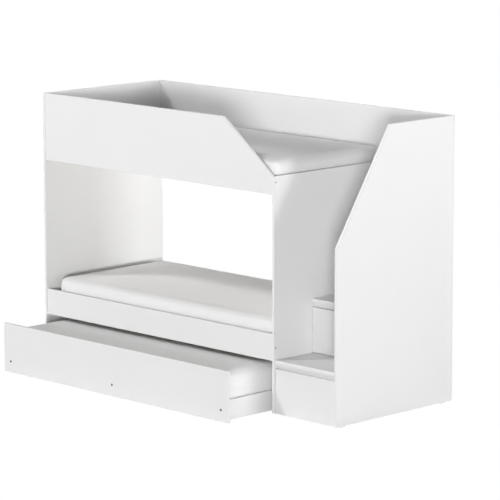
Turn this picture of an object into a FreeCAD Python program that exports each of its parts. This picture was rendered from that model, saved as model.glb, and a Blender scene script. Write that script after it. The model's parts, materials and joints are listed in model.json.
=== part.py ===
import FreeCAD, Part
import os
import Sketcher

# A bunk bed of white boards, with a staircase of three drawers at its right
# end and a roll-out bed under the lower bunk, drawn partly out.
# X runs along the bed from the left end, Y from front to back, Z up.
# The origin is on the floor, at the middle of the plan.

doc = FreeCAD.newDocument("bunk_bed")
sheet = doc.addObject("Spreadsheet::Sheet", "sizes")

driving_sizes = (
    # boards and overall sizes
    ("board", 15, "thickness of every panel, guard and rail"),
    ("bed_depth", 962, "front to back over the end panels"),
    ("inner_length", 1920, "left end panel to partition, clear"),
    ("stair_width", 464, "partition to outer panel, clear"),
    ("panel_height", 1643, "height of the two tall panels"),
    ("guard_lap", 105, "how far the partition reaches up beside the front guard"),
    ("front_recess", 5, "guard and rail behind the panels' front edges"),
    ("glide_height", 6, "floor glides under the panels"),
    ("glide_length", 40, "floor glides, front to back"),
    ("glide_width", 11, "floor glides, across the board's edge"),
    ("glide_margin", 40, "glide from the front or back edge"),
    # guards, rails and what lies on them
    ("guard_height", 403, "height of both upper guards"),
    ("guard_slope_run", 395, "length of the sloped cut in the front guard"),
    ("rail_bottom", 299, "underside of the lower rails above the panel foot"),
    ("rail_height", 154, "height of the lower rails"),
    ("cleat_width", 20, "cleats that carry the slats"),
    ("cleat_height", 18, "cleats that carry the slats"),
    ("slat_thickness", 14, "all slats"),
    ("slat_width", 80, "slats of the two bunks"),
    ("slat_count", 12, "slats in each bunk"),
    ("slat_end_gap", 1, "slat end to the board beside it"),
    ("upper_base_rise", 34, "top of the upper slats above the guards' lower edge"),
    ("lower_base_rise", 80, "top of the lower slats above the rails' lower edge"),
    # outer stair panel
    ("slope_start", 996, "height at which the outer panel's front edge turns back"),
    ("slope_set_back", 422, "how far back the slope ends at the top"),
    # stairs and drawers
    ("tread_rise", 312, "floor to tread, and tread to tread"),
    ("tread_going", 297, "one tread's front edge to the next"),
    ("tread_thickness", 20, "stair treads"),
    ("stair_recess", 9, "treads and drawer fronts behind the panels' front edges"),
    ("finger_gap", 30, "open grip between a drawer front and the tread above"),
    ("front_side_gap", 2, "drawer front to panel"),
    ("front_foot_gap", 3, "drawer front above the tread below"),
    ("back_sheet", 3, "thin sheet behind the stairs"),
    ("brace_height", 80, "rear brace at the foot of the stairs"),
    ("cross_rail_height", 80, "rail across the stairs under the front of each tread"),
    ("cross_rail_gap", 6, "room for fingertips between a drawer front and that rail"),
    ("bracket_leg", 14, "legs of the angle brackets under the treads"),
    ("bracket_width", 24, "length of a bracket along its corner"),
    ("bracket_wall", 2.5, "thickness of a bracket's legs"),
    ("bracket_margin", 70, "bracket from the tread's front or back edge"),
    ("drawer_board", 12, "drawer sides and backs"),
    ("drawer_side_height", 160, "height of the drawer sides"),
    ("drawer_side_lift", 25, "drawer sides above the front's lower edge"),
    ("drawer_sheet", 3, "drawer bottoms"),
    ("groove_lift", 8, "drawer bottom above the sides' lower edge"),
    ("groove_depth", 5, "drawer bottom let into the sides and front"),
    ("groove_play", 0.2, "bottom's play in its groove, above and below"),
    ("lower_drawer_depth", 600, "box depth behind the front"),
    ("middle_drawer_depth", 550, "box depth behind the front"),
    ("upper_drawer_depth", 300, "box depth behind the front"),
    ("runner_gap", 12.5, "drawer side to panel, filled by the runner"),
    ("runner_height", 36, "height of the fixed channel"),
    ("runner_flange", 9, "depth of the fixed channel"),
    ("runner_steel", 1.2, "steel of both runner halves"),
    ("runner_lip", 4, "lip of the fixed channel"),
    ("runner_reach", 9.5, "how far the moving half reaches into the channel"),
    ("runner_play", 0.4, "play between the runner halves"),
    # screws
    ("screw_head_radius", 4.5, "sunk flat heads, with a cone of 45 degrees"),
    ("screw_radius", 3, "shanks"),
    ("screw_length", 50, "whole length"),
    ("screw_play", 0.1, "hole around a shank or head"),
    ("guard_screw_drop", 34, "guard screw below the partition's top"),
    ("guard_top_margin", 60, "upper guard screw below the guard's top"),
    # roll-out bed
    ("trundle_open", 342, "how far it stands out in front of the panels"),
    ("trundle_gap", 3, "front panel to the end panel and partition"),
    ("trundle_floor_gap", 4, "front panel above the floor"),
    ("trundle_panel_height", 295, "height of its front panel"),
    ("trundle_rail_inset", 50, "side rails in from the front panel's ends"),
    ("trundle_inner_depth", 790, "front panel to back rail, clear"),
    ("trundle_rail_gap", 6, "rails above the floor"),
    ("trundle_rail_height", 115, "height of its rails"),
    ("trundle_slat_width", 70, "its slats"),
    ("trundle_slat_count", 6, "its slats"),
    ("trundle_slat_margin", 12, "outer slats from front panel and back rail"),
    ("trundle_screw_lift", 67, "front screws above the front panel's lower edge"),
    # casters
    ("wheel_radius", 25, "caster wheels"),
    ("wheel_width", 18, "caster wheels"),
    ("axle_radius", 4, "caster axles"),
    ("running_gap", 0.1, "radial play of wheel and bracket on the axle"),
    ("wheel_side_gap", 1, "wheel to cheek"),
    ("wheel_top_gap", 4, "wheel to the bracket's web"),
    ("caster_steel", 2, "steel of the caster brackets"),
    ("caster_width", 34, "caster bracket along the direction of travel"),
    ("caster_foot", 11, "bracket below the axle"),
    ("caster_plate_rise", 24, "screw plate above the bracket's web"),
    ("caster_margin", 60, "corner casters' axles from the front panel or back rail"),
    # mattresses
    ("mattress_end_gap", 20, "bunk mattress to the upright panels"),
    ("mattress_side_gap", 16, "lower mattress to the rails"),
    ("trundle_mattress_end_gap", 7, "roll-out mattress to the inner faces of the side rails"),
    ("trundle_mattress_side_gap", 5, "roll-out mattress to its front panel"),
    ("mattress_thickness", 150, "bunk mattresses, at the crown"),
    ("trundle_mattress_thickness", 156, "roll-out mattress, at the crown"),
    ("mattress_crown", 8, "middle above the long edges"),
    ("mattress_corner", 55, "corner radius in plan"),
    ("mattress_edge", 28, "height of the rounded edge"),
    ("mattress_roll", 24, "set-back of the rounded edge"),
    ("mattress_draw_in", 6, "how far each side pulls in between its corners"),
)
for row, (name, value, note) in enumerate(driving_sizes, 1):
    sheet.set("A%d" % row, name)
    sheet.set("B%d" % row, str(value))
    sheet.set("C%d" % row, note)
    sheet.setAlias("B%d" % row, name)
doc.recompute()


def number(expression):
    """The present value of an expression on the sheet."""
    return float(sheet.evalExpression(str(expression)))


def total(*terms):
    return "(" + " + ".join(str(term) for term in terms) + ")"


def less(first, *terms):
    return "(" + " - ".join(str(term) for term in (first,) + terms) + ")"


def times(first, second):
    return "(%s * %s)" % (first, second)


def half(term):
    return "(%s / 2)" % term


# Every size on the sheet, by its name, as a term for the expressions below.
size = {name: "sizes." + name for name, value, note in driving_sizes}
board = size["board"]

# Planes across the bed, from the left.
partition_x = total(board, size["inner_length"])
stair_x = total(partition_x, board)
outer_x = total(stair_x, size["stair_width"])
overall_length = total(outer_x, board)

# Planes from the front to the back, and up from the floor.
guard_y = size["front_recess"]
back_guard_y = less(size["bed_depth"], board)
back_rail_y = less(back_guard_y, board)
foot_z = size["glide_height"]
top_z = total(foot_z, size["panel_height"])
guard_z = less(top_z, size["guard_height"])
rail_z = total(foot_z, size["rail_bottom"])
partition_top_z = total(guard_z, size["guard_lap"])
partition_height = less(partition_top_z, foot_z)
upper_base_z = total(guard_z, size["upper_base_rise"])
lower_base_z = total(rail_z, size["lower_base_rise"])

# The origin is at the middle of the plan, with the roll-out bed where it stands.
centre_x = half(overall_length)
centre_y = half(less(size["bed_depth"], size["trundle_open"]))

nodes = []


def place(piece, x, y, z):
    piece.setExpression("Placement.Base.x", less(x, centre_x))
    piece.setExpression("Placement.Base.y", less(y, centre_y))
    piece.setExpression("Placement.Base.z", str(z))


def keep(piece, label):
    piece.Label = label
    nodes.append(piece)
    return piece


def box(name, corner, extent):
    piece = doc.addObject("Part::Box", name)
    for side, expression in zip(("Length", "Width", "Height"), extent):
        piece.setExpression(side, str(expression))
    place(piece, *corner)
    return piece


def plain_board(label, corner, extent):
    return keep(box(label, corner, extent), label)


def group(label, pieces):
    """Alike pieces that share one node, each a solid of its own."""
    compound = doc.addObject("Part::Compound", label)
    compound.Links = pieces
    return keep(compound, label)


# ---- bodies made from sketches ----

def origin_plane(body, role):
    for feature in body.Origin.OriginFeatures:
        if feature.Role == role:
            return feature
    raise ValueError(role)


def new_sketch(body, role, offset=None):
    """A sketch on one of the body's own planes, moved along its normal."""
    sketch = body.newObject("Sketcher::SketchObject", body.Name + "_sketch")
    sketch.AttachmentSupport = [(origin_plane(body, role), "")]
    sketch.MapMode = "FlatFace"
    if offset is not None:
        sign = "-1" if role == "XZ_Plane" else "1"
        sketch.setExpression("AttachmentOffset.Base.z", times(sign, offset))
    return sketch


def bind(sketch, constraint, expression):
    index = sketch.addConstraint(constraint)
    sketch.setExpression("Constraints[%d]" % index, str(expression))


def pin_point(sketch, geometry, point, u, v):
    bind(sketch, Sketcher.Constraint("DistanceX", -1, 1, geometry, point, number(u)), u)
    bind(sketch, Sketcher.Constraint("DistanceY", -1, 1, geometry, point, number(v)), v)


def outline_sketch(body, role, points, offset=None):
    sketch = new_sketch(body, role, offset)
    corners = [FreeCAD.Vector(number(u), number(v), 0) for u, v in points]
    count = len(corners)
    for i in range(count):
        sketch.addGeometry(Part.LineSegment(corners[i], corners[(i + 1) % count]), False)
    for i in range(count):
        sketch.addConstraint(Sketcher.Constraint("Coincident", i, 2, (i + 1) % count, 1))
    for i, (u, v) in enumerate(points):
        pin_point(sketch, i, 1, u, v)
    return sketch


def padded_body(label, corner, role, points, length):
    """An outline on a plane through the corner, thickened towards +X, +Y or +Z."""
    body = doc.addObject("PartDesign::Body", label)
    sketch = outline_sketch(body, role, points)
    pad = body.newObject("PartDesign::Pad", label + "_pad")
    pad.Profile = sketch
    pad.setExpression("Length", str(length))
    pad.Reversed = role == "XZ_Plane"
    place(body, *corner)
    return body


def circle_sketch(body, role, offset, centres, radius):
    sketch = new_sketch(body, role, offset)
    for u, v in centres:
        middle = FreeCAD.Vector(number(u), number(v), 0)
        circle = Part.Circle(middle, FreeCAD.Vector(0, 0, 1), number(radius))
        index = sketch.addGeometry(circle, False)
        bind(sketch, Sketcher.Constraint("Radius", index, number(radius)), radius)
        pin_point(sketch, index, 3, u, v)
    return sketch


def bore(body, role, offset, centres, radius, depth, forward):
    """Round holes from a plane, towards the axis's positive side or back."""
    sketch = circle_sketch(body, role, offset, centres, radius)
    pocket = body.newObject("PartDesign::Pocket", body.Name + "_bore")
    pocket.Profile = sketch
    pocket.setExpression("Length", str(depth))
    pocket.Reversed = forward != (role == "XZ_Plane")
    return pocket


def rectangle(width, height):
    return [("0", "0"), (width, "0"), (width, height), ("0", height)]


shank_hole = total(size["screw_radius"], size["screw_play"])
head_hole = total(size["screw_head_radius"], size["screw_play"])
head_height = less(size["screw_head_radius"], size["screw_radius"])
shank_depth = total(less(size["screw_length"], board), 1)


def sink_screws(body, role, offset, centres, forward):
    """A countersunk through hole for each screw, from the face it enters."""
    doc.recompute()
    sketch = circle_sketch(body, role, offset, centres, shank_hole)
    doc.recompute()
    hole = body.newObject("PartDesign::Hole", body.Name + "_countersink")
    hole.Profile = sketch
    doc.recompute()
    hole.ThreadType = "None"
    hole.DepthType = "ThroughAll"
    hole.HoleCutType = "Countersink"
    hole.HoleCutCustomValues = True
    hole.HoleCutCountersinkAngle = 90
    hole.setExpression("Diameter", times(2, shank_hole))
    hole.setExpression("HoleCutDiameter", times(2, head_hole))
    hole.Reversed = forward != (role == "XZ_Plane")


def screw(name, x, y, z, turn_axis, angle):
    """A flat-headed screw whose head is flush at x, y, z; it points along +Z before its turn."""
    head = doc.addObject("Part::Cone", name + "_head")
    head.setExpression("Radius1", size["screw_head_radius"])
    head.setExpression("Radius2", size["screw_radius"])
    head.setExpression("Height", head_height)
    shank = doc.addObject("Part::Cylinder", name + "_shank")
    shank.setExpression("Radius", size["screw_radius"])
    shank.setExpression("Height", less(size["screw_length"], head_height))
    shank.setExpression("Placement.Base.z", head_height)
    whole = doc.addObject("Part::Fuse", name)
    whole.Base = head
    whole.Tool = shank
    whole.Placement = FreeCAD.Placement(FreeCAD.Vector(), FreeCAD.Rotation(turn_axis, angle))
    place(whole, x, y, z)
    return whole


towards_right = (FreeCAD.Vector(0, 1, 0), 90)
towards_left = (FreeCAD.Vector(0, 1, 0), -90)
towards_back = (FreeCAD.Vector(1, 0, 0), -90)

# ---- the three upright panels ----

board_middle = half(board)
guard_screw_y = total(guard_y, board_middle)
back_guard_screw_y = total(back_guard_y, board_middle)
back_rail_screw_y = total(back_rail_y, board_middle)
guard_low_z = less(partition_top_z, size["guard_screw_drop"])
guard_high_z = less(top_z, size["guard_top_margin"])
rail_screw_z = total(rail_z, half(size["rail_height"]))

left_screws = [(guard_screw_y, guard_low_z), (guard_screw_y, guard_high_z),
               (back_guard_screw_y, guard_low_z), (back_guard_screw_y, guard_high_z),
               (guard_screw_y, rail_screw_z), (back_rail_screw_y, rail_screw_z)]
partition_screws = [(guard_screw_y, guard_low_z), (guard_screw_y, rail_screw_z),
                    (back_rail_screw_y, rail_screw_z)]


def above_foot(places):
    return [(y, less(z, foot_z)) for y, z in places]


left_panel = padded_body("left_end_panel", ("0", "0", foot_z), "YZ_Plane",
                         rectangle(size["bed_depth"], size["panel_height"]), board)
sink_screws(left_panel, "YZ_Plane", None, above_foot(left_screws), True)
keep(left_panel, "left_end_panel")

partition = padded_body("partition_panel", (partition_x, "0", foot_z), "YZ_Plane",
                        rectangle(back_guard_y, partition_height), board)
sink_screws(partition, "YZ_Plane", board, above_foot(partition_screws), False)
keep(partition, "partition_panel")

outer_outline = [("0", "0"), (size["bed_depth"], "0"),
                 (size["bed_depth"], size["panel_height"]),
                 (size["slope_set_back"], size["panel_height"]),
                 ("0", size["slope_start"])]
outer_panel = padded_body("stair_outer_panel", (outer_x, "0", foot_z), "YZ_Plane",
                          outer_outline, board)
keep(outer_panel, "stair_outer_panel")

# ---- guards and rails ----

front_guard_outline = [("0", "0"), (size["inner_length"], "0"),
                       (size["inner_length"], size["guard_lap"]),
                       (less(size["inner_length"], size["guard_slope_run"]), size["guard_height"]),
                       ("0", size["guard_height"])]
front_guard = padded_body("upper_front_guard", (board, guard_y, guard_z), "XZ_Plane",
                          front_guard_outline, board)
guard_low = less(guard_low_z, guard_z)
guard_high = less(guard_high_z, guard_z)
bore(front_guard, "YZ_Plane", None, [(board_middle, guard_low), (board_middle, guard_high)],
     shank_hole, shank_depth, True)
bore(front_guard, "YZ_Plane", size["inner_length"], [(board_middle, guard_low)],
     shank_hole, shank_depth, False)
keep(front_guard, "upper_front_guard")

back_guard_length = less(outer_x, board)
back_guard = padded_body("upper_back_guard", (board, back_guard_y, guard_z), "XZ_Plane",
                         rectangle(back_guard_length, size["guard_height"]), board)
bore(back_guard, "YZ_Plane", None, [(board_middle, guard_low), (board_middle, guard_high)],
     shank_hole, shank_depth, True)
keep(back_guard, "upper_back_guard")

for rail_name, rail_y in (("lower_front_rail", guard_y), ("lower_back_rail", back_rail_y)):
    rail = padded_body(rail_name, (board, rail_y, rail_z), "XZ_Plane",
                       rectangle(size["inner_length"], size["rail_height"]), board)
    rail_middle = [(board_middle, half(size["rail_height"]))]
    bore(rail, "YZ_Plane", None, rail_middle, shank_hole, shank_depth, True)
    bore(rail, "YZ_Plane", size["inner_length"], rail_middle, shank_hole, shank_depth, False)
    keep(rail, rail_name)

panel_screws = []
for y, z in left_screws:
    panel_screws.append(screw("left_screw", "0", y, z, *towards_right))
for y, z in partition_screws:
    panel_screws.append(screw("partition_screw", stair_x, y, z, *towards_left))
group("panel_screws", panel_screws)

# ---- cleats and slats of the two bunks ----

def bunk_base(name, base_z, front_y, back_y):
    """Two cleats along the boards, and slats across them."""
    slat_z = less(base_z, size["slat_thickness"])
    cleat_z = less(slat_z, size["cleat_height"])
    cleat = (size["inner_length"], size["cleat_width"], size["cleat_height"])
    cleats = [box(name + "_cleat", (board, y, cleat_z), cleat)
              for y in (front_y, less(back_y, size["cleat_width"]))]
    group(name + "_cleats", cleats)
    count = int(number(size["slat_count"]))
    spare = less(size["inner_length"], times(count, size["slat_width"]))
    space = "(%s / %d)" % (spare, count)
    length = less(back_y, front_y, times(2, size["slat_end_gap"]))
    slats = []
    for i in range(count):
        x = total(board, half(space), times(i, total(size["slat_width"], space)))
        corner = (x, total(front_y, size["slat_end_gap"]), slat_z)
        slats.append(box(name + "_slat", corner, (size["slat_width"], length,
                                                  size["slat_thickness"])))
    group(name + "_slats", slats)


guard_back_y = total(guard_y, board)
bunk_base("upper", upper_base_z, guard_back_y, back_guard_y)
bunk_base("lower", lower_base_z, guard_back_y, back_rail_y)

# ---- treads, their cross rails, back sheet, brace and brackets ----

def tread_front(step):
    return total(size["stair_recess"], times(step - 1, size["tread_going"]))


def tread_top(step):
    return times(step, size["tread_rise"])


for step in (1, 2, 3):
    plain_board("stair_tread_%d" % step,
                (stair_x, tread_front(step), less(tread_top(step), size["tread_thickness"])),
                (size["stair_width"], less(back_guard_y, tread_front(step)),
                 size["tread_thickness"]))
    plain_board("stair_cross_rail_%d" % step,
                (stair_x, total(tread_front(step), board, size["cross_rail_gap"]),
                 less(tread_top(step), size["tread_thickness"], size["cross_rail_height"])),
                (size["stair_width"], board, size["cross_rail_height"]))

plain_board("stair_back_sheet", (partition_x, back_guard_y, foot_z),
            (total(board, size["stair_width"]), size["back_sheet"], less(guard_z, foot_z)))
plain_board("stair_rear_brace", (stair_x, back_rail_y, foot_z),
            (size["stair_width"], board, size["brace_height"]))


def angle_bracket(name, x, y, z, side):
    """An angle under a tread; side is 1 against the partition, -1 against the outer panel."""
    leg, wall = size["bracket_leg"], size["bracket_wall"]
    outline = [("0", "0"), (times(side, leg), "0"), (times(side, leg), times(-1, wall)),
               (times(side, wall), times(-1, wall)), (times(side, wall), times(-1, leg)),
               ("0", times(-1, leg))]
    return padded_body(name, (x, y, z), "XZ_Plane", outline, size["bracket_width"])


brackets = []
for step in (1, 2, 3):
    under = less(tread_top(step), size["tread_thickness"])
    front = total(tread_front(step), size["bracket_margin"])
    rear = less(back_guard_y, size["bracket_margin"], size["bracket_width"])
    for y in (front, rear):
        brackets.append(angle_bracket("tread_bracket", stair_x, y, under, 1))
        brackets.append(angle_bracket("tread_bracket", outer_x, y, under, -1))
group("tread_brackets", brackets)

# ---- drawers behind the risers, and their runners ----

def runner(name, x, y, z, side, points, length):
    outline = [(times(side, u), v) for u, v in points]
    return padded_body(name, (x, y, z), "XZ_Plane", outline, length)


steel, reach = size["runner_steel"], size["runner_reach"]
channel_half = half(size["runner_height"])
channel_inside = less(channel_half, steel)
lip_edge = less(channel_half, size["runner_lip"])
flange = size["runner_flange"]
lip_start = less(flange, steel)


def mirrored(points):
    """The upper half of a section, with its lower half added below."""
    return points + [(u, times(-1, v)) for u, v in reversed(points)]


channel = mirrored([("0", channel_half), (flange, channel_half), (flange, lip_edge),
                    (lip_start, lip_edge), (lip_start, channel_inside),
                    (steel, channel_inside)])
slide_half = less(lip_edge, size["runner_play"])
slide_tip = less(channel_inside, size["runner_play"])
slide = mirrored([("0", slide_half), (less(reach, steel), slide_half),
                  (less(reach, steel), slide_tip), (reach, slide_tip),
                  (reach, less(slide_half, steel)), (steel, less(slide_half, steel))])


def drawer(name, step, depth, fixed_runners):
    front_y = tread_front(step)
    box_y = total(front_y, board)
    foot = foot_z if step == 1 else total(tread_top(step - 1), size["front_foot_gap"])
    head = less(tread_top(step), size["tread_thickness"], size["finger_gap"])
    front_x = total(stair_x, size["front_side_gap"])
    front_width = less(size["stair_width"], times(2, size["front_side_gap"]))
    side_z = total(foot, size["drawer_side_lift"])
    left_x = total(stair_x, size["runner_gap"])
    right_x = less(outer_x, size["runner_gap"], size["drawer_board"])
    inner_x = total(left_x, size["drawer_board"])
    inner_width = less(right_x, inner_x)
    sheet_z = total(side_z, size["groove_lift"])
    groove_z = less(sheet_z, size["groove_play"])
    groove_height = total(size["drawer_sheet"], times(2, size["groove_play"]))
    groove_x = less(inner_x, size["groove_depth"])
    groove_width = total(inner_width, times(2, size["groove_depth"]))
    groove_y = less(box_y, size["groove_depth"])
    back_y = less(total(box_y, depth), size["drawer_board"])

    def grooved(label, corner, extent):
        whole = box(label + "_blank", corner, extent)
        slot = box(label + "_groove", (groove_x, groove_y, groove_z),
                   (groove_width, total(depth, size["groove_depth"], 1), groove_height))
        cut = doc.addObject("Part::Cut", label)
        cut.Base = whole
        cut.Tool = slot
        keep(cut, label)

    grooved(name + "_drawer_front", (front_x, front_y, foot), (front_width, board, less(head, foot)))
    side = (size["drawer_board"], depth, size["drawer_side_height"])
    grooved(name + "_drawer_left_side", (left_x, box_y, side_z), side)
    grooved(name + "_drawer_right_side", (right_x, box_y, side_z), side)
    above_sheet = total(size["groove_lift"], size["drawer_sheet"], size["groove_play"])
    plain_board(name + "_drawer_back", (inner_x, back_y, total(side_z, above_sheet)),
                (inner_width, size["drawer_board"], less(size["drawer_side_height"], above_sheet)))
    play = size["groove_play"]
    plain_board(name + "_drawer_bottom", (total(groove_x, play), total(groove_y, play), sheet_z),
                (less(groove_width, times(2, play)), less(total(depth, size["groove_depth"]), play),
                 size["drawer_sheet"]))
    runner_z = total(side_z, half(size["drawer_side_height"]))
    fixed_runners.append(runner("fixed_runner", stair_x, box_y, runner_z, 1, channel, depth))
    fixed_runners.append(runner("fixed_runner", outer_x, box_y, runner_z, -1, channel, depth))
    right_face = total(right_x, size["drawer_board"])
    group(name + "_drawer_runners",
          [runner("slide_runner", left_x, box_y, runner_z, -1, slide, depth),
           runner("slide_runner", right_face, box_y, runner_z, 1, slide, depth)])


fixed_runners = []
drawer("lower", 1, size["lower_drawer_depth"], fixed_runners)
drawer("middle", 2, size["middle_drawer_depth"], fixed_runners)
drawer("upper", 3, size["upper_drawer_depth"], fixed_runners)
group("fixed_runners", fixed_runners)

# ---- floor glides ----

glides = []
for x in (board_middle, total(partition_x, board_middle), total(outer_x, board_middle)):
    for y in (size["glide_margin"],
              less(back_guard_y, size["glide_margin"], size["glide_length"])):
        glides.append(box("glide", (less(x, half(size["glide_width"])), y, "0"),
                          (size["glide_width"], size["glide_length"], foot_z)))
group("floor_glides", glides)

# ---- the roll-out bed ----

trundle_front_y = times(-1, size["trundle_open"])
trundle_inner_y = total(trundle_front_y, board)
trundle_back_y = total(trundle_inner_y, size["trundle_inner_depth"])
trundle_panel_x = total(board, size["trundle_gap"])
trundle_panel_length = less(size["inner_length"], times(2, size["trundle_gap"]))
trundle_rail_z = size["trundle_rail_gap"]
left_rail_x = total(trundle_panel_x, size["trundle_rail_inset"])
right_rail_x = less(total(trundle_panel_x, trundle_panel_length), size["trundle_rail_inset"], board)
centre_rail_x = less(total(trundle_panel_x, half(trundle_panel_length)), board_middle)
trundle_base_z = total(trundle_rail_z, size["trundle_rail_height"])
trundle_slat_z = less(trundle_base_z, size["slat_thickness"])
front_screw_z = total(size["trundle_floor_gap"], size["trundle_screw_lift"])

trundle_panel = padded_body("trundle_front_panel",
                            (trundle_panel_x, trundle_front_y, size["trundle_floor_gap"]),
                            "XZ_Plane",
                            rectangle(trundle_panel_length, size["trundle_panel_height"]), board)
rail_middles = [total(x, board_middle) for x in (left_rail_x, centre_rail_x, right_rail_x)]
sink_screws(trundle_panel, "XZ_Plane", None,
            [(less(x, trundle_panel_x), size["trundle_screw_lift"]) for x in rail_middles], True)
keep(trundle_panel, "trundle_front_panel")

centre_height = less(trundle_slat_z, trundle_rail_z)
for rail_name, rail_x, rail_height in (("trundle_left_rail", left_rail_x, size["trundle_rail_height"]),
                                       ("trundle_centre_rail", centre_rail_x, centre_height),
                                       ("trundle_right_rail", right_rail_x,
                                        size["trundle_rail_height"])):
    rail = padded_body(rail_name, (rail_x, trundle_inner_y, trundle_rail_z), "YZ_Plane",
                       rectangle(size["trundle_inner_depth"], rail_height), board)
    bore(rail, "XZ_Plane", None, [(board_middle, less(front_screw_z, trundle_rail_z))],
         shank_hole, shank_depth, True)
    keep(rail, rail_name)

plain_board("trundle_back_rail", (left_rail_x, trundle_back_y, trundle_rail_z),
            (less(total(right_rail_x, board), left_rail_x), board, size["trundle_rail_height"]))

group("trundle_front_screws",
      [screw("front_screw", x, trundle_front_y, front_screw_z, *towards_back)
       for x in rail_middles])

trundle_cleat_z = less(trundle_slat_z, size["cleat_height"])
trundle_cleat = (size["cleat_width"], size["trundle_inner_depth"], size["cleat_height"])
group("trundle_cleats",
      [box("trundle_cleat", (x, trundle_inner_y, trundle_cleat_z), trundle_cleat)
       for x in (total(left_rail_x, board), less(right_rail_x, size["cleat_width"]))])

trundle_slat_count = int(number(size["trundle_slat_count"]))
slat_run = less(size["trundle_inner_depth"], size["trundle_slat_width"],
                times(2, size["trundle_slat_margin"]))
trundle_slat_x = total(left_rail_x, board, size["slat_end_gap"])
trundle_slat_length = less(right_rail_x, trundle_slat_x, size["slat_end_gap"])
trundle_slats = []
for i in range(trundle_slat_count):
    step_back = "(%s * %d / %d)" % (slat_run, i, max(trundle_slat_count - 1, 1))
    y = total(trundle_inner_y, size["trundle_slat_margin"], step_back)
    trundle_slats.append(box("trundle_slat", (trundle_slat_x, y, trundle_slat_z),
                             (trundle_slat_length, size["trundle_slat_width"],
                              size["slat_thickness"])))
group("trundle_slats", trundle_slats)

# ---- casters, one at each corner and one in the middle ----

caster = size["caster_steel"]
cheek_x = total(caster, size["wheel_side_gap"], size["wheel_width"], size["wheel_side_gap"])
bracket_foot = times(-1, size["caster_foot"])
web_z = total(size["wheel_radius"], size["wheel_top_gap"])
plate_z = total(web_z, caster, size["caster_plate_rise"])
caster_section = [("0", bracket_foot), (caster, bracket_foot), (caster, web_z), (cheek_x, web_z),
                  (cheek_x, bracket_foot), (total(cheek_x, caster), bracket_foot),
                  (total(cheek_x, caster), total(web_z, caster)),
                  (caster, total(web_z, caster)), (caster, plate_z), ("0", plate_z)]
axle_hole = total(size["axle_radius"], size["running_gap"])
wheel_middle = total(caster, size["wheel_side_gap"], half(size["wheel_width"]))
half_width = half(size["wheel_width"])
wheel_edge = times(-1, half_width)
wheel_section = [(wheel_edge, axle_hole), (half_width, axle_hole),
                 (half_width, size["wheel_radius"]), (wheel_edge, size["wheel_radius"])]

caster_brackets = []
caster_axles = []
left_face, right_face = total(left_rail_x, board), right_rail_x
front_axle_y = total(trundle_inner_y, size["caster_margin"])
rear_axle_y = less(trundle_back_y, size["caster_margin"])
caster_places = (("front_left", left_face, 1, front_axle_y),
                 ("front_right", right_face, -1, front_axle_y),
                 ("rear_left", left_face, 1, rear_axle_y),
                 ("rear_right", right_face, -1, rear_axle_y),
                 ("centre", total(centre_rail_x, board), 1,
                  total(trundle_inner_y, half(size["trundle_inner_depth"]))))
for caster_name, face_x, side, axle_y in caster_places:
    section = [(times(side, u), v) for u, v in caster_section]
    bracket = padded_body("caster_bracket",
                          (face_x, less(axle_y, half(size["caster_width"])), size["wheel_radius"]),
                          "XZ_Plane", section, size["caster_width"])
    reach_out = times(side, total(cheek_x, caster))
    bore(bracket, "YZ_Plane", reach_out, [(half(size["caster_width"]), "0")], axle_hole,
         total(cheek_x, caster), side < 0)
    caster_brackets.append(bracket)

    axle = doc.addObject("Part::Cylinder", "caster_axle")
    axle.Placement = FreeCAD.Placement(FreeCAD.Vector(),
                                       FreeCAD.Rotation(FreeCAD.Vector(0, 1, 0), 90 * side))
    axle.setExpression("Radius", size["axle_radius"])
    axle.setExpression("Height", total(cheek_x, caster, caster))
    place(axle, face_x, axle_y, size["wheel_radius"])
    caster_axles.append(axle)

    wheel = doc.addObject("PartDesign::Body", "caster_wheel_" + caster_name)
    sketch = outline_sketch(wheel, "XZ_Plane", wheel_section)
    turned = wheel.newObject("PartDesign::Revolution", wheel.Name + "_turned")
    turned.Profile = sketch
    turned.ReferenceAxis = (sketch, ["H_Axis"])
    turned.Angle = 360
    place(wheel, total(face_x, times(side, wheel_middle)), axle_y, size["wheel_radius"])
    keep(wheel, "caster_wheel_" + caster_name)
group("caster_brackets", caster_brackets)
group("caster_axles", caster_axles)

# ---- mattresses ----

def cushion_outline(length, width, corner, inset, level):
    """A rounded rectangle whose four sides pull in between its corners."""
    draw = number(size["mattress_draw_in"])
    reach_x, reach_y = length / 2 - inset, width / 2 - inset
    flat_x, flat_y = reach_x - corner, reach_y - corner
    diagonal = corner * 0.5 ** 0.5

    def point(x, y):
        return FreeCAD.Vector(x, y, level)

    edges = []
    for sx, sy in ((1, 1), (-1, 1), (-1, -1), (1, -1)):
        start = point(sx * reach_x, sy * flat_y)
        middle = point(sx * (flat_x + diagonal), sy * (flat_y + diagonal))
        end = point(sx * flat_x, sy * reach_y)
        if sx * sy > 0:
            side_end, pull = point(-sx * flat_x, sy * reach_y), point(0, sy * (reach_y - draw))
            edges.append(Part.Arc(start, middle, end).toShape())
            edges.append(Part.Arc(end, pull, side_end).toShape())
        else:
            side_end, pull = point(sx * reach_x, -sy * flat_y), point(sx * (reach_x - draw), 0)
            edges.append(Part.Arc(end, middle, start).toShape())
            edges.append(Part.Arc(start, pull, side_end).toShape())
    return Part.Wire(edges)


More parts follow.
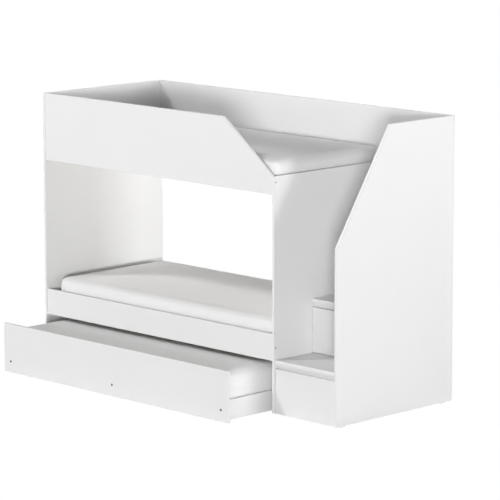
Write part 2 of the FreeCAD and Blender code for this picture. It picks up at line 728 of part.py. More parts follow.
def mattress(label, length, width, thickness, x, y, z):
    """A pad with rolled edges whose top is crowned across; x, y is the middle of its plan."""
    thick, crown = number(thickness), number(size["mattress_crown"])
    edge, roll = number(size["mattress_edge"]), number(size["mattress_roll"])
    corner = number(size["mattress_corner"])
    levels = [(0, 0), (thick - edge, 0), (thick - edge * 0.3, roll * 0.3), (thick, roll)]
    pad = Part.makeLoft([cushion_outline(number(length), number(width), corner - inset, inset, level)
                         for level, inset in levels], True, True)
    half_top = number(width) / 2 - roll
    crown_radius = (half_top ** 2 + crown ** 2) / (2 * crown)
    crown_start = FreeCAD.Vector(-number(length), 0, thick - crown_radius)
    crown_shape = Part.makeCylinder(crown_radius, 2 * number(length), crown_start,
                                    FreeCAD.Vector(1, 0, 0))
    piece = doc.addObject("Part::Feature", label)
    piece.Shape = pad.common(crown_shape).Solids[0]
    place(piece, x, y, z)
    keep(piece, label)


bunk_middle_x = total(board, half(size["inner_length"]))
mattress_length = less(size["inner_length"], times(2, size["mattress_end_gap"]))
mattress_width = less(back_rail_y, guard_back_y, times(2, size["mattress_side_gap"]))
mattress("upper_mattress", mattress_length, mattress_width, size["mattress_thickness"],
         bunk_middle_x, half(total(guard_back_y, back_guard_y)), upper_base_z)
mattress("lower_mattress", mattress_length, mattress_width, size["mattress_thickness"],
         bunk_middle_x, half(total(guard_back_y, back_rail_y)), lower_base_z)
mattress("trundle_mattress",
         less(right_rail_x, left_rail_x, board, times(2, size["trundle_mattress_end_gap"])),
         less(size["trundle_inner_depth"], times(2, size["trundle_mattress_side_gap"])),
         size["trundle_mattress_thickness"], bunk_middle_x,
         half(total(trundle_inner_y, trundle_back_y)), trundle_base_z)

# ---- check and write every sub-part ----

doc.recompute()
for item in doc.Objects:
    if "Invalid" in item.State or "Error" in item.State:
        raise RuntimeError("%s failed: %s" % (item.Name, item.State))
    if item.TypeId == "PartDesign::Pocket":
        removed = item.BaseFeature.Shape.Volume - item.Shape.Volume
        if removed < 1:
            raise RuntimeError("%s cuts nothing" % item.Name)

labels = [node.Label for node in nodes]
if len(set(labels)) != len(labels):
    raise RuntimeError("two sub-parts share a name")
os.makedirs("parts", exist_ok=True)
for node in nodes:
    shape = node.Shape
    if shape.isNull() or not shape.isValid():
        raise RuntimeError("%s has no valid shape" % node.Label)
    shape.exportStep("parts/%s.step" % node.Label)
print("%d sub-parts written" % len(nodes))
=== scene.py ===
import json
import math

import bmesh
import bpy
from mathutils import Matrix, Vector


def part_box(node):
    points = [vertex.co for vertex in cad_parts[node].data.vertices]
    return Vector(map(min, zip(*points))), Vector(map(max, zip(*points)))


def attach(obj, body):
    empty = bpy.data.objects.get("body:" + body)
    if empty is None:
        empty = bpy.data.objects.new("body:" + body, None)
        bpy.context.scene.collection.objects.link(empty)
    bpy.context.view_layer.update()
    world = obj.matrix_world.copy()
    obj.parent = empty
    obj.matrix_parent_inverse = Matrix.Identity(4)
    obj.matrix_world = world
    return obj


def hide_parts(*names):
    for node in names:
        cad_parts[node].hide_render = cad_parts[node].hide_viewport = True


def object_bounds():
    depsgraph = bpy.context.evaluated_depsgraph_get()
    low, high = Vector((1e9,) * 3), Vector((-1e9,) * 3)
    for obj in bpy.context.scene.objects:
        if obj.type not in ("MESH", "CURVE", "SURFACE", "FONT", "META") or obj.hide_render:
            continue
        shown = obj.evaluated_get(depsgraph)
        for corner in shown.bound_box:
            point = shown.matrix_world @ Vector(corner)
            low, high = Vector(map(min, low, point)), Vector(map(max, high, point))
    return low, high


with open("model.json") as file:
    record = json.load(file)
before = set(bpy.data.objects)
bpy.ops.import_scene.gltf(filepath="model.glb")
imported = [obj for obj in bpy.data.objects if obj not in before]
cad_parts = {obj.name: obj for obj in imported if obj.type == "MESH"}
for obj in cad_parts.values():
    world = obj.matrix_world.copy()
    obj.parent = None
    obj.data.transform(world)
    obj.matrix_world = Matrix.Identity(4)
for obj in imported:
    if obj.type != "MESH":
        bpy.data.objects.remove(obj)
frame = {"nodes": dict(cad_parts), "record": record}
cadLow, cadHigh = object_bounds()

mm = 0.001                      # the frame is in metres
weld = 0.01 * mm                # points nearer than this are one point
sharpFold = 0.6                 # in radians, a fold that counts as an edge
bodyOf = {node: body for body, nodes in frame["record"]["behaviour"]["bodies"].items() for node in nodes}
worldAxes = (Vector((1, 0, 0)), Vector((0, 1, 0)), Vector((0, 0, 1)))
print("frame: loaded", len(bodyOf), "nodes")


# small helpers for selecting and editing

def clearSelection():
    if bpy.context.mode != "OBJECT":
        bpy.ops.object.mode_set(mode="OBJECT")
    bpy.ops.object.select_all(action="DESELECT")


def makeActive(piece):
    clearSelection()
    piece.select_set(True)
    bpy.context.view_layer.objects.active = piece


def editMesh(piece):
    if bpy.context.mode == "OBJECT":
        makeActive(piece)
        bpy.ops.object.mode_set(mode="EDIT")
    mesh = bmesh.from_edit_mesh(piece.data)
    mesh.faces.ensure_lookup_table()
    return mesh


def leaveEdit():
    bpy.ops.object.mode_set(mode="OBJECT")


def pickFaces(piece, wanted):
    bpy.ops.mesh.select_mode(type="FACE")
    bpy.ops.mesh.select_all(action="DESELECT")
    mesh = editMesh(piece)
    for face in mesh.faces:
        face.select_set(wanted(face))
    bmesh.update_edit_mesh(piece.data)


def pickEdges(piece, wanted):
    bpy.ops.mesh.select_mode(type="EDGE")
    bpy.ops.mesh.select_all(action="DESELECT")
    mesh = editMesh(piece)
    for edge in mesh.edges:
        if wanted(edge):
            edge.select_set(True)
    bmesh.update_edit_mesh(piece.data)


def foldAngle(edge):
    return edge.calc_face_angle(0) if len(edge.link_faces) == 2 else 0


def applyModifier(piece, kind, **values):
    makeActive(piece)
    modifier = piece.modifiers.new(kind.title(), kind)
    for name, value in values.items():
        setattr(modifier, name, value)
    bpy.ops.object.modifier_apply(modifier=modifier.name)


def bakePlace(piece):
    makeActive(piece)
    bpy.ops.object.transform_apply(location=True, rotation=True, scale=True)


def shadeByAngle(piece, degrees=30):
    makeActive(piece)
    bpy.ops.object.shade_smooth_by_angle(angle=math.radians(degrees))


def copyOfNode(node, name):
    piece = bpy.data.objects.new(name, frame["nodes"][node].data.copy())
    bpy.context.scene.collection.objects.link(piece)
    editMesh(piece)
    bpy.ops.mesh.select_all(action="SELECT")
    bpy.ops.mesh.customdata_custom_splitnormals_clear()
    bpy.ops.mesh.remove_doubles(threshold=weld)
    bpy.ops.mesh.dissolve_limited(angle_limit=math.radians(0.4))
    leaveEdit()
    bpy.ops.object.shade_flat()
    piece.data.materials.clear()
    return piece


def looseBoxes(node):
    # lowest and highest corner of every separate solid of a node
    mesh = bmesh.new()
    mesh.from_mesh(frame["nodes"][node].data)
    bmesh.ops.remove_doubles(mesh, verts=mesh.verts, dist=weld)
    left = set(mesh.verts)
    boxes = []
    while left:
        front = [left.pop()]
        points = []
        while front:
            vert = front.pop()
            points.append(vert.co.copy())
            for edge in vert.link_edges:
                other = edge.other_vert(vert)
                if other in left:
                    left.remove(other)
                    front.append(other)
        low = Vector([min(p[i] for p in points) for i in range(3)])
        high = Vector([max(p[i] for p in points) for i in range(3)])
        boxes.append((low, high))
    mesh.free()
    return sorted(boxes, key=lambda box: tuple(round(value, 4) for value in box[0]))


def standFor(piece, slot, *nodes):
    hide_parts(*nodes)
    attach(piece, bodyOf[nodes[0]])


# shader maths

class Signal:  # an output of a shader node: sums of signals add the Math nodes
    def __init__(self, tree, socket=None):
        self.tree = tree
        self.socket = socket

    def node(self, kind, settings=None, sockets=None, output=0):
        made = self.tree.nodes.new("ShaderNode" + kind)
        for name, value in (settings or {}).items():
            if name == "stops":
                self.setStops(made.color_ramp, value)
            else:
                setattr(made, name, value)
        for name, value in (sockets or {}).items():
            if isinstance(value, Signal):
                self.tree.links.new(value.socket, made.inputs[name])
            else:
                made.inputs[name].default_value = value
        return Signal(self.tree, made.outputs[output])

    def setStops(self, ramp, stops):
        while len(ramp.elements) < len(stops):
            ramp.elements.new(0.5)
        for element, (place, colour) in zip(ramp.elements, stops):
            element.position = place
            element.color = (*colour, 1) if hasattr(colour, "__len__") else (colour, colour, colour, 1)

    def maths(self, operation, *values):
        return self.node("Math", {"operation": operation}, dict(enumerate(values)))

    def blend(self, factor, first, second):
        # mixes two colours, and a factor of 0 gives the first
        first, second = ((*c, 1) if isinstance(c, tuple) else c for c in (first, second))
        return self.node("Mix", {"data_type": "RGBA"}, {0: factor, 6: first, 7: second}, output=2)

    def ramp(self, stops):
        return self.node("ValToRGB", {"stops": stops}, {"Fac": self})

    def within(self, low, high):
        # 0 at low and 1 at high, held beyond them
        return self.node("MapRange", {"clamp": True}, {"Value": self, "From Min": low, "From Max": high})

    def __add__(self, other):
        return self.maths("ADD", self, other)

    def __sub__(self, other):
        return self.maths("SUBTRACT", self, other)

    def __rsub__(self, other):
        return self.maths("SUBTRACT", other, self)

    def __mul__(self, other):
        return self.maths("MULTIPLY", self, other)

    __radd__ = __add__
    __rmul__ = __mul__


def newMaterial(name, fixed):
    # a Principled shader whose fixed values sit on its own sockets
    material = bpy.data.materials.new(name)
    material.use_nodes = True
    tree = material.node_tree
    tree.nodes.clear()
    shader = tree.nodes.new("ShaderNodeBsdfPrincipled")
    output = tree.nodes.new("ShaderNodeOutputMaterial")
    tree.links.new(shader.outputs[0], output.inputs["Surface"])
    for socket, value in fixed.items():
        shader.inputs[socket].default_value = value
    material.diffuse_color = fixed.get("Base Color", (0.8, 0.8, 0.8, 1))
    start = Signal(tree)
    place = start.node("TexCoord", output="Object")

    def feed(socket, signal):
        tree.links.new(signal.socket, shader.inputs[socket])

    return material, start, place, feed


def noiseAt(place, size, detail=2, roughness=0.5, distortion=0):
    return place.node("TexNoise", None, {"Vector": place, "Scale": 1 / size, "Detail": detail,
                                         "Roughness": roughness, "Distortion": distortion})


def bump(height, depth):
    return height.node("Bump", None, {"Height": height, "Distance": depth, "Strength": 1})


# white melamine boards

board = {
    "white": (0.8, 0.8, 0.8),
    "band": (0.81, 0.81, 0.81),
    "seam": (0.68, 0.68, 0.675),
    "roughness": 0.42,
    "bandRoughness": 0.34,
    "pearlSize": 1.6 * mm,      # the fine grain of the paper
    "pearlDepth": 0.012 * mm,
    "smearSize": 120 * mm,
    "cloudSize": 350 * mm,
    "cloudDim": 0.985,
    "ease": 0.7 * mm,           # rounding of the taped edges
    "shortest": 12 * mm,        # shorter edges belong to bores
}


def melamine(name, colour, roughness, grain=1):
    material, start, place, feed = newMaterial(name, {"Base Color": (*colour, 1), "IOR": 1.48})
    cloud = noiseAt(place, board["cloudSize"], 3).within(0.3, 0.7)
    dim = tuple(value * board["cloudDim"] for value in colour)
    feed("Base Color", start.blend(cloud, dim, colour))
    pearl = noiseAt(place, board["pearlSize"], 2, 0.6)
    smear = noiseAt(place, board["smearSize"], 2).within(0.35, 0.75)
    feed("Roughness", roughness + smear * 0.05 + (pearl - 0.5) * 0.12)
    feed("Normal", bump(pearl, board["pearlDepth"] * grain))
    return material


faceWhite = melamine("boardFace", board["white"], board["roughness"])
seamWhite = melamine("boardSeam", board["seam"], board["bandRoughness"], 0.3)
bandWhite = melamine("boardBand", board["band"], board["bandRoughness"], 0.5)


def thinAxis(node):
    # across the board's thickness
    low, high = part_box(node)
    size = high - low
    return min(range(3), key=lambda i: size[i])


def dressBoard(node):
    axis = worldAxes[thinAxis(node)]
    piece = copyOfNode(node, node + "_board")
    for material in (faceWhite, seamWhite, bandWhite):
        piece.data.materials.append(material)
    editMesh(piece)
    pickFaces(piece, lambda face: abs(face.normal.dot(axis)) < 0.7)
    piece.active_material_index = 2
    bpy.ops.object.material_slot_assign()
    pickEdges(piece, lambda edge: foldAngle(edge) > sharpFold and edge.calc_length() > board["shortest"])
    bpy.ops.mesh.bevel(offset=board["ease"], segments=2, affect="EDGES", clamp_overlap=False, material=1)
    leaveEdit()
    standFor(piece, "white_board", node)


boardNodes = [
    "left_end_panel", "partition_panel", "stair_outer_panel", "upper_front_guard", "upper_back_guard",
    "lower_front_rail", "lower_back_rail", "stair_rear_brace",
    "stair_tread_1", "stair_tread_2", "stair_tread_3",
    "stair_cross_rail_1", "stair_cross_rail_2", "stair_cross_rail_3",
    "trundle_front_panel", "trundle_left_rail", "trundle_centre_rail", "trundle_right_rail", "trundle_back_rail",
]
drawers = ("lower_drawer", "middle_drawer", "upper_drawer")
boardNodes += [drawer + part for drawer in drawers for part in ("_front", "_left_side", "_right_side", "_back")]
for node in boardNodes:
    dressBoard(node)
print("boards:", len(boardNodes))


# hardboard: the sheet behind the stairs and the drawer bottoms

hardboard = {
    "lacquer": (0.83, 0.83, 0.82),
    "lacquerDim": (0.81, 0.81, 0.8),
    "lacquerGrain": 2.5 * mm,
    "lacquerDepth": 0.02 * mm,
    "lacquerCloud": 200 * mm,
    "lacquerRoughness": 0.5,
    "fibre": (0.36, 0.22, 0.115),
    "fibreLight": (0.47, 0.31, 0.17),
    "fibreSize": 1.2 * mm,
    "fibreDepth": 0.06 * mm,
    "fibreCloud": 50 * mm,
    "fibreRoughness": 0.62,
    "ease": 0.25 * mm,
}


def lacquered():
    material, start, place, feed = newMaterial("hardboardLacquer", {"Base Color": (*hardboard["lacquer"], 1)})
    grain = noiseAt(place, hardboard["lacquerGrain"], 3)
    cloud = noiseAt(place, hardboard["lacquerCloud"], 2).within(0.3, 0.7)
    feed("Base Color", start.blend(cloud, hardboard["lacquerDim"], hardboard["lacquer"]))
    feed("Roughness", hardboard["lacquerRoughness"] + (grain - 0.5) * 0.2)
    feed("Normal", bump(grain, hardboard["lacquerDepth"]))
    return material


def fibreBack():
    material, start, place, feed = newMaterial("hardboardFibre", {"Base Color": (*hardboard["fibre"], 1)})
    fibres = noiseAt(place, hardboard["fibreSize"], 4, 0.7, 0.6)
    cloud = noiseAt(place, hardboard["fibreCloud"], 3)
    mixed = (fibres * 0.7 + cloud * 0.3).within(0.32, 0.68)
    feed("Base Color", start.blend(mixed, hardboard["fibre"], hardboard["fibreLight"]))
    feed("Roughness", hardboard["fibreRoughness"] + fibres * 0.2)
    feed("Normal", bump(fibres, hardboard["fibreDepth"]))
    return material


lacquer = lacquered()
fibre = fibreBack()


def dressSheet(node, backwards):
    # bare fibre shows on the side that backwards points to, and on the cut edges
    piece = copyOfNode(node, node + "_sheet")
    piece.data.materials.append(lacquer)
    piece.data.materials.append(fibre)
    editMesh(piece)
    pickEdges(piece, lambda edge: foldAngle(edge) > sharpFold)
    bpy.ops.mesh.bevel(offset=hardboard["ease"], segments=1, affect="EDGES", clamp_overlap=False)
    pickFaces(piece, lambda face: face.normal.dot(Vector(backwards)) > -0.5)
    piece.active_material_index = 1
    bpy.ops.object.material_slot_assign()
    leaveEdit()
    standFor(piece, "hardboard", node)


dressSheet("stair_back_sheet", (0, 1, 0))
for drawer in drawers:
    dressSheet(drawer + "_bottom", (0, 0, -1))
print("hardboard: 4 sheets")


# pine slats and the strips that carry them

pine = {
    "light": (0.84, 0.78, 0.67),
    "mid": (0.8, 0.73, 0.6),
    "dark": (0.68, 0.57, 0.43),
    "knot": (0.24, 0.13, 0.06),
    "toneStops": (0.25, 0.5, 0.86),
    "ringPitch": 5 * mm,
    "sway": 50 * mm,
    "fibreSize": 0.9 * mm,
    "depth": 0.12 * mm,
    "knotsPerMetre": 3.2,
    "knotCore": 0.022,
    "knotRim": 0.05,
    "round": 2.5 * mm,
    "stripRound": 1 * mm,
}


def pineGrain(name, turn):
    # the grain runs along X, or along Y when turned a quarter
    material, start, place, feed = newMaterial(name, {"Base Color": (*pine["mid"], 1), "IOR": 1.45})
    island = start.node("NewGeometry", output="Random Per Island")
    shift = start.node("CombineXYZ", None, {0: island * 7.3, 1: island * 1.7, 2: island * 0.31})
    turned = place.node("Mapping", None, {"Vector": place, "Rotation": (0, 0, turn)})
    moved = turned.node("VectorMath", {"operation": "ADD"}, {0: turned, 1: shift})
    long = moved.node("VectorMath", {"operation": "MULTIPLY"}, {0: moved, 1: (0.08, 1, 1)})
    sway = noiseAt(long, pine["sway"], 2)
    rings = long.node("TexWave", {"wave_type": "RINGS", "rings_direction": "X", "wave_profile": "SAW"},
                      {"Vector": long, "Scale": 0.16 / pine["ringPitch"], "Distortion": 3.2, "Detail": 2,
                       "Detail Scale": 1.4, "Detail Roughness": 0.5}, output="Fac")
    thin = moved.node("VectorMath", {"operation": "MULTIPLY"}, {0: moved, 1: (0.03, 1, 1)})
    fibres = noiseAt(thin, pine["fibreSize"], 3, 0.6)
    tone = rings * 0.55 + sway * 0.25 + fibres * 0.2 + (island - 0.5) * 0.12
    colour = tone.ramp(list(zip(pine["toneStops"], (pine["light"], pine["mid"], pine["dark"]))))
    cells = long.node("TexVoronoi", {"feature": "F1"}, {
        "Vector": long, "Scale": pine["knotsPerMetre"], "Randomness": 1}, output="Distance")
    knots = 1 - cells.within(pine["knotCore"], pine["knotRim"])
    feed("Base Color", start.blend(knots, colour, pine["knot"]))
    feed("Roughness", 0.5 + fibres * 0.22)
    feed("Normal", bump(rings * 0.4 + fibres * 0.6, pine["depth"]))
    return material


pineAlongX = pineGrain("pineAlongX", 0)
pineAlongY = pineGrain("pineAlongY", math.pi / 2)


def dressPine(node, material, radius):
    piece = copyOfNode(node, node + "_pine")
    piece.data.materials.append(material)
    editMesh(piece)
    pickEdges(piece, lambda edge: foldAngle(edge) > sharpFold)
    bpy.ops.mesh.bevel(offset=radius, segments=3, affect="EDGES", clamp_overlap=False)
    leaveEdit()
    shadeByAngle(piece, 40)
    standFor(piece, "pine", node)


dressPine("upper_slats", pineAlongY, pine["round"])
dressPine("lower_slats", pineAlongY, pine["round"])
dressPine("trundle_slats", pineAlongX, pine["round"])
dressPine("upper_cleats", pineAlongX, pine["stripRound"])
dressPine("lower_cleats", pineAlongX, pine["stripRound"])
dressPine("trundle_cleats", pineAlongY, pine["stripRound"])
print("pine: 3 slatted bases and their strips")


# metal and plastic

metal = {
    "zinc": (0.55, 0.56, 0.57),
    "screw": (0.24, 0.24, 0.245),
    "darkScrew": (0.1, 0.1, 0.103),
    "nylon": (0.028, 0.028, 0.03),
    "plastic": (0.8, 0.8, 0.785),
    "darker": 0.86,             # of a colour, where it is stained
    "spangle": 3 * mm,
    "scratch": 0.5 * mm,
    "scratchDepth": 0.01 * mm,
    "mouldCloud": 20 * mm,
    "mouldDepth": 0.02 * mm,
    "runnerEase": 0.25 * mm,
    "bracketEase": 0.3 * mm,
    "axleEase": 0.5 * mm,
    "glideRound": 1.5 * mm,
    "treadBracketEase": 0.5 * mm,
}


def plated(name, colour, roughness):
    material, start, place, feed = newMaterial(name, {"Base Color": (*colour, 1), "Metallic": 1.0})
    spangle = place.node("TexVoronoi", {"feature": "F1"}, {
        "Vector": place, "Scale": 1 / metal["spangle"]}, output="Color")
    grey = spangle.node("SeparateColor", None, {0: spangle})
    drawn = place.node("VectorMath", {"operation": "MULTIPLY"}, {0: place, 1: (1, 0.06, 1)})
    scratch = noiseAt(drawn, metal["scratch"], 2)
    darker = tuple(value * metal["darker"] for value in colour)
    feed("Base Color", start.blend(grey * 0.6 + scratch * 0.4, darker, colour))
    feed("Roughness", roughness + scratch * 0.12 + grey * 0.06)
    feed("Normal", bump(scratch, metal["scratchDepth"]))
    return material


def moulded(name, colour, roughness, grainSize):
    material, start, place, feed = newMaterial(name, {"Base Color": (*colour, 1), "IOR": 1.5})
    grain = noiseAt(place, grainSize, 2)
    cloud = noiseAt(place, metal["mouldCloud"], 2)
    feed("Base Color", start.blend(cloud, tuple(value * 0.9 for value in colour), colour))
    feed("Roughness", roughness + (grain - 0.5) * 0.16)
    feed("Normal", bump(grain, metal["mouldDepth"]))
    return material


zincSteel = plated("zincSteel", metal["zinc"], 0.26)
screwSteel = plated("screwSteel", metal["screw"], 0.3)
darkSteel = plated("darkSteel", metal["darkScrew"], 0.4)
nylon = moulded("wheelNylon", metal["nylon"], 0.38, 0.6 * mm)
whitePlastic = moulded("whitePlastic", metal["plastic"], 0.35, 0.5 * mm)


def dressPart(node, suffix, material, slot, radius, segments=2):
    piece = copyOfNode(node, node + suffix)
    piece.data.materials.append(material)
    editMesh(piece)
    pickEdges(piece, lambda edge: foldAngle(edge) > sharpFold and edge.calc_length() > 3 * radius)
    bpy.ops.mesh.bevel(offset=radius, segments=segments, affect="EDGES", clamp_overlap=False)
    leaveEdit()
    shadeByAngle(piece, 35)
    standFor(piece, slot, node)


for node in ["fixed_runners"] + [drawer + "_runners" for drawer in drawers]:
    dressPart(node, "_steel", zincSteel, "zinc_steel", metal["runnerEase"], 1)
dressPart("caster_brackets", "_steel", zincSteel, "zinc_steel", metal["bracketEase"], 1)
dressPart("caster_axles", "_steel", zincSteel, "zinc_steel", metal["axleEase"])
dressPart("floor_glides", "_plastic", whitePlastic, "white_plastic", metal["glideRound"], 3)
dressPart("tread_brackets", "_plastic", whitePlastic, "white_plastic", metal["treadBracketEase"])
print("fittings: runners, brackets, axles and glides")


# wheels of the roll-out bed

wheel = {
    "tyreRound": 2.2 * mm,
    "rim": 4.5 * mm,
    "dish": 3.5 * mm,           # depth of the recess in each face
    "wall": 0.6 * mm,           # width that its sloping sides take up
    "hubIn": 0.5 * mm,          # the hub ends this much below the rim
    "hubRadius": 8.5 * mm,
    "boreRadius": 4.15 * mm,
    "sides": 72,
}


def makeWheel(node):
    low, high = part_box(node)
    radius = (high.z - low.z) / 2
    bpy.ops.mesh.primitive_cylinder_add(vertices=wheel["sides"], radius=radius, depth=high.x - low.x,
                                        location=(low + high) / 2, rotation=(0, math.pi / 2, 0))
    piece = bpy.context.active_object
    piece.name = node + "_nylon"
    bakePlace(piece)
    editMesh(piece)
    pickFaces(piece, lambda face: abs(face.normal.x) > 0.9)
    rings = (                   # width and rise of each ring, from the rim in to the bore
        (wheel["rim"], 0),
        (wheel["wall"], -wheel["dish"]),
        (radius - wheel["rim"] - 2 * wheel["wall"] - wheel["hubRadius"], 0),
        (wheel["wall"], wheel["dish"] - wheel["hubIn"]),
        (wheel["hubRadius"] - wheel["boreRadius"], 0),
    )
    for width, rise in rings:
        bpy.ops.mesh.inset(thickness=width, depth=rise)
    bpy.ops.mesh.bridge_edge_loops()
    centre = (low + high) / 2
    pickEdges(piece, lambda edge: foldAngle(edge) > 0.9 and all(
        abs(((vert.co - centre) * Vector((0, 1, 1))).length - radius) < weld for vert in edge.verts))
    bpy.ops.mesh.bevel(offset=wheel["tyreRound"], segments=4, affect="EDGES", clamp_overlap=False)
    leaveEdit()
    shadeByAngle(piece, 35)
    piece.data.materials.append(nylon)
    standFor(piece, "wheel_nylon", node)


clearSelection()
wheelNodes = sorted(node for node in bodyOf if node.startswith("caster_wheel"))
for node in wheelNodes:
    makeWheel(node)
print("wheels:", len(wheelNodes))


# sunk screws with a hexagon socket; those of the roll-out bed's front have a collar on the board

screw = {
    "headRadius": 4.5 * mm,
    "shankRadius": 2.2 * mm,
    "socket": 2.3 * mm,         # radius to the hexagon's corners
    "socketDepth": 2.4 * mm,
    "rim": 0.35 * mm,
    "dip": 0.15 * mm,           # the head is this much lower at its socket
    "sides": 36,
    "collar": (7 * mm, 0.9 * mm),   # radius and height
}


def makeScrew(name, low, high, outward, steel, collar=None):
    # the long way of the box is the screw's axis, and its head is on the outward side
    axis = max(range(3), key=lambda i: (high - low)[i])
    direction = worldAxes[axis] * outward
    length = (high - low)[axis]
    head = (low + high) / 2 + direction * length / 2
    thin = screw["shankRadius"] / screw["headRadius"]
    shank = length - screw["headRadius"] + screw["shankRadius"]
    bpy.ops.mesh.primitive_cylinder_add(vertices=screw["sides"], radius=screw["headRadius"], depth=length)
    piece = bpy.context.active_object
    piece.name = name
    editMesh(piece)
    pickFaces(piece, lambda face: face.normal.z < -0.9)
    bpy.ops.transform.translate(value=(0, 0, shank))
    bpy.ops.transform.resize(value=(thin, thin, 1))
    bpy.ops.mesh.extrude_region_move(TRANSFORM_OT_translate={"value": (0, 0, -shank)})
    pickFaces(piece, lambda face: face.normal.z > 0.9)
    radius = screw["headRadius"]
    if collar:
        radius, rise = collar
        wide = radius / screw["headRadius"]
        bpy.ops.mesh.extrude_region_move()
        bpy.ops.transform.resize(value=(wide, wide, 1))
        bpy.ops.mesh.extrude_region_move(TRANSFORM_OT_translate={"value": (0, 0, rise)})
    bpy.ops.mesh.inset(thickness=screw["rim"], depth=0)
    bpy.ops.mesh.inset(thickness=radius - screw["rim"] - screw["socket"], depth=-screw["dip"])
    snapToHexagon(piece)
    bpy.ops.mesh.extrude_region_move(TRANSFORM_OT_translate={"value": (0, 0, -screw["socketDepth"])})
    leaveEdit()
    piece.rotation_mode = "QUATERNION"
    piece.rotation_quaternion = direction.to_track_quat("Z", "Y")
    piece.location = head - direction * length / 2
    bakePlace(piece)
    shadeByAngle(piece, 35)
    piece.data.materials.append(steel)
    return piece


def snapToHexagon(piece):
    # pulls the picked ring of points in to the sides of a hexagon
    mesh = editMesh(piece)
    sector = math.pi / 3
    for vert in {vert for face in mesh.faces if face.select for vert in face.verts}:
        angle = math.atan2(vert.co.y, vert.co.x)
        offset = (angle % sector) - sector / 2
        reach = screw["socket"] * math.cos(sector / 2) / math.cos(offset)
        vert.co.x = reach * math.cos(angle)
        vert.co.y = reach * math.sin(angle)
    bmesh.update_edit_mesh(piece.data)


def joinPieces(pieces, name):
    makeActive(pieces[0])
    for piece in pieces[1:]:
        piece.select_set(True)
    if len(pieces) > 1:
        bpy.ops.object.join()
    pieces[0].name = name
    return pieces[0]


middle = (cadLow.x + cadHigh.x) / 2
panelScrews = [makeScrew("panelScrew", low, high, -1 if high.x < middle else 1, screwSteel)
               for low, high in looseBoxes("panel_screws")]
standFor(joinPieces(panelScrews, "panel_screws_steel"), "screw_steel", "panel_screws")
frontScrews = [makeScrew("frontScrew", low, high, -1, darkSteel, screw["collar"])
               for low, high in looseBoxes("trundle_front_screws")]
standFor(joinPieces(frontScrews, "trundle_front_screws_steel"), "screw_steel", "trundle_front_screws")
print("screws: in the panels and the roll-out bed's front")


# mattresses

mattress = {
    "voxel": 14 * mm,
    "endsIn": {                 # left and right, from the CAD solid; the cover swells back out
        "upper_mattress": (1 * mm, 1 * mm),
        "lower_mattress": (39 * mm, 1 * mm),
        "trundle_mattress": (-4 * mm, -4 * mm),
    },
    "depthIn": 1 * mm,
    "topIn": 1.5 * mm,
    "corner": 50 * mm,
    "cornerSteps": 8,
    "edge": 40 * mm,
    "footEdge": 12 * mm,
    "edgeSteps": 5,
    "footDown": 16 * mm,        # cut off again where the mattress lies on its base
    "pressure": 0.15,
    "frames": 10,
    "quality": 5,
    "pinned": 30 * mm,          # this much of its height is held
    "cap": 8 * mm,
    "fill": 0.9,
    "white": (0.86, 0.86, 0.862),
    "shade": (0.82, 0.82, 0.822),
    "knit": 2.2 * mm,
    "knitDepth": 0.25 * mm,
    "fluff": 1.1 * mm,
    "cloud": 90 * mm,
}


def knitted():
    material, start, place, feed = newMaterial("mattressCover", {
        "Base Color": (*mattress["white"], 1), "Sheen Weight": 0.12, "Sheen Roughness": 0.5, "IOR": 1.42})
    axes = place.node("SeparateXYZ", None, {0: place})
    parts = [Signal(axes.tree, axes.socket.node.outputs[i]) for i in range(3)]
    turns = 2 * math.pi / mattress["knit"]
    waves = [(part * turns).maths("SINE", part * turns) for part in parts]
    stitch = (waves[0] + waves[1] + waves[2]) * 0.25 + 0.5
    fluff = noiseAt(place, mattress["fluff"], 3, 0.6)
    cloud = noiseAt(place, mattress["cloud"], 3)
    tone = (stitch * 0.4 + fluff * 0.3 + cloud * 0.3).within(0.25, 0.75)
    feed("Base Color", start.blend(tone, mattress["shade"], mattress["white"]))
    feed("Roughness", 0.82 + fluff * 0.12)
    feed("Normal", bump(stitch * 0.6 + fluff * 0.4, mattress["knitDepth"]))
    return material


cover = knitted()


def mattressBlock(name, low, high):
    left, right = mattress["endsIn"][name]
    low = low + Vector((left, mattress["depthIn"], -mattress["footDown"]))
    high = high - Vector((right, mattress["depthIn"], mattress["topIn"]))
    clearSelection()
    bpy.ops.mesh.primitive_cube_add(size=1, location=(low + high) / 2, scale=high - low)
    piece = bpy.context.active_object
    piece.name = name + "_cover"
    bakePlace(piece)
    editMesh(piece)
    pickEdges(piece, lambda edge: abs((edge.verts[0].co - edge.verts[1].co).z) > 0.05)
    bpy.ops.mesh.bevel(offset=mattress["corner"], segments=mattress["cornerSteps"], affect="EDGES")
    for level, radius in ((high.z, mattress["edge"]), (low.z, mattress["footEdge"])):
        pickEdges(piece, lambda edge: foldAngle(edge) > 1 and all(abs(v.co.z - level) < mm for v in edge.verts))
        bpy.ops.mesh.bevel(offset=radius, segments=mattress["edgeSteps"], affect="EDGES")
    leaveEdit()
    return piece


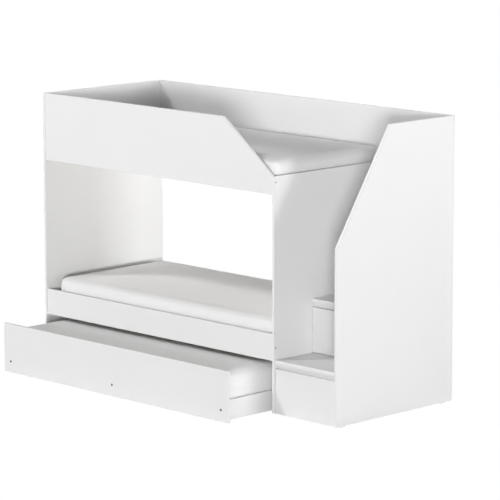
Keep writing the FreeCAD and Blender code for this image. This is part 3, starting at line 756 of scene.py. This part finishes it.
def inflate(piece, floor):
    # the cover swells over its filling; no point moves further than the cap
    applyModifier(piece, "REMESH", mode="VOXEL", voxel_size=mattress["voxel"])
    rest = [vert.co.copy() for vert in piece.data.vertices]
    held = piece.vertex_groups.new(name="held")
    held.add([i for i, place in enumerate(rest) if place.z < floor + mattress["pinned"]], 1, "REPLACE")
    makeActive(piece)
    cloth = piece.modifiers.new("Cloth", "CLOTH")
    cloth.settings.vertex_group_mass = "held"
    cloth.settings.use_pressure = True
    cloth.settings.uniform_pressure_force = mattress["pressure"]
    cloth.settings.effector_weights.gravity = 0
    cloth.settings.quality = mattress["quality"]
    scene = bpy.context.scene
    for number in range(1, mattress["frames"] + 1):
        scene.frame_set(number)
    bpy.ops.object.modifier_apply(modifier=cloth.name)
    scene.frame_set(1)
    for vert, start in zip(piece.data.vertices, rest):
        move = vert.co - start
        if move.length > mattress["cap"]:
            move *= mattress["cap"] / move.length
        vert.co = start + move
    applyModifier(piece, "SUBSURF", levels=1, render_levels=1)
    for vert in piece.data.vertices:
        vert.co.z = max(vert.co.z, floor)
    makeActive(piece)
    bpy.ops.object.shade_smooth()
    return piece


def makeMattress(node):
    low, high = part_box(node)
    piece = inflate(mattressBlock(node, low, high), low.z)
    piece.data.materials.append(cover)
    standFor(piece, "mattress_cover", node)


for node in mattress["endsIn"]:
    makeMattress(node)
print("mattresses:", len(mattress["endsIn"]))


# floor, light and camera

studio = {
    "floorRadius": 90,
    "floorSides": 96,
    "floor": 0.9,
    "floorWhite": 1.05,
    "floorShare": 0.93,         # of that white in what the camera sees
    "glow": 2.4,                # light from all round, low down
    "glowHeight": 0.17,
    "sky": 0.2,
    "lamps": {                  # strength, angle and direction of travel
        "keyLight": (1.25, 10, (0.6, 0.68, -0.82)),
        "fillLight": (2.75, 11, (-0.7, 0.72, -0.008)),
        "sideLight": (1.35, 12, (-1, -0.19, -0.015)),
        "rearLight": (1.7, 20, (0.15, -1, -0.3)),
    },
}

view = {
    "place": (11.938, -11.621, 3.749),
    "turn": (79.989, 0, 45.207),
    "lens": 209.5,
    "sensor": 36,
    "reach": 300,
}


def seenRays(start):
    # 1 for rays of the camera and for those that shiny or clear surfaces pass on
    kinds = [start.node("LightPath", output="Is " + kind + " Ray") for kind in ("Camera", "Glossy", "Transmission")]
    return (kinds[0] + kinds[1] + kinds[2]).within(0, 1)


def floorMaterial():
    material = bpy.data.materials.new("studioFloor")
    material.use_nodes = True
    tree = material.node_tree
    tree.nodes.clear()
    start = Signal(tree)
    diffuse = start.node("BsdfDiffuse", None, {"Color": (studio["floor"],) * 3 + (1,)})
    white = start.node("Emission", None, {"Color": (1, 1, 1, 1), "Strength": studio["floorWhite"]})
    clear = start.node("BsdfTransparent")
    seen = start.node("MixShader", None, {0: seenRays(start) * studio["floorShare"], 1: diffuse, 2: white})
    below = start.node("NewGeometry", output="Backfacing")
    both = start.node("MixShader", None, {0: below, 1: seen, 2: clear})
    output = tree.nodes.new("ShaderNodeOutputMaterial")
    tree.links.new(both.socket, output.inputs["Surface"])
    return material


def makeFloor():
    clearSelection()
    bpy.ops.mesh.primitive_circle_add(vertices=studio["floorSides"], radius=studio["floorRadius"],
                                      fill_type="NGON", location=(0, 0, 0))
    floor = bpy.context.active_object
    floor.name = "studio_floor"
    floor.data.materials.append(floorMaterial())


def makeWorld():
    world = bpy.data.worlds.new("studioWorld")
    bpy.context.scene.world = world
    world.use_nodes = True
    tree = world.node_tree
    tree.nodes.clear()
    start = Signal(tree)
    ray = start.node("TexCoord", output="Generated")
    height = ray.node("SeparateXYZ", None, {0: ray}, output=2)
    low = height.maths("ABSOLUTE", height).within(studio["glowHeight"], 0)
    light = start.node("Background", None, {
        "Color": (1, 1, 1, 1), "Strength": low * studio["glow"] + height * height * studio["sky"]})
    white = start.node("Background", None, {"Color": (1, 1, 1, 1), "Strength": 1})
    both = start.node("MixShader", None, {0: seenRays(start), 1: light, 2: white})
    output = tree.nodes.new("ShaderNodeOutputWorld")
    tree.links.new(both.socket, output.inputs["Surface"])


def makeSun(name, strength, angle, travel):
    data = bpy.data.lights.new(name, "SUN")
    data.energy = strength
    data.angle = math.radians(angle)
    lamp = bpy.data.objects.new(name, data)
    lamp.rotation_mode = "QUATERNION"
    lamp.rotation_quaternion = Vector(travel).to_track_quat("-Z", "Y")
    bpy.context.scene.collection.objects.link(lamp)


def makeCamera():
    data = bpy.data.cameras.new("photoView")
    data.lens = view["lens"]
    data.sensor_width = view["sensor"]
    data.clip_end = view["reach"]
    camera = bpy.data.objects.new("photoView", data)
    camera.location = view["place"]
    camera.rotation_euler = [math.radians(angle) for angle in view["turn"]]
    bpy.context.scene.collection.objects.link(camera)
    bpy.context.scene.camera = camera


makeFloor()
makeWorld()
for name, lamp in studio["lamps"].items():
    makeSun(name, *lamp)
makeCamera()
bpy.context.scene.view_settings.view_transform = "Standard"
print("studio: floor, world,", len(studio["lamps"]), "lamps and the camera")
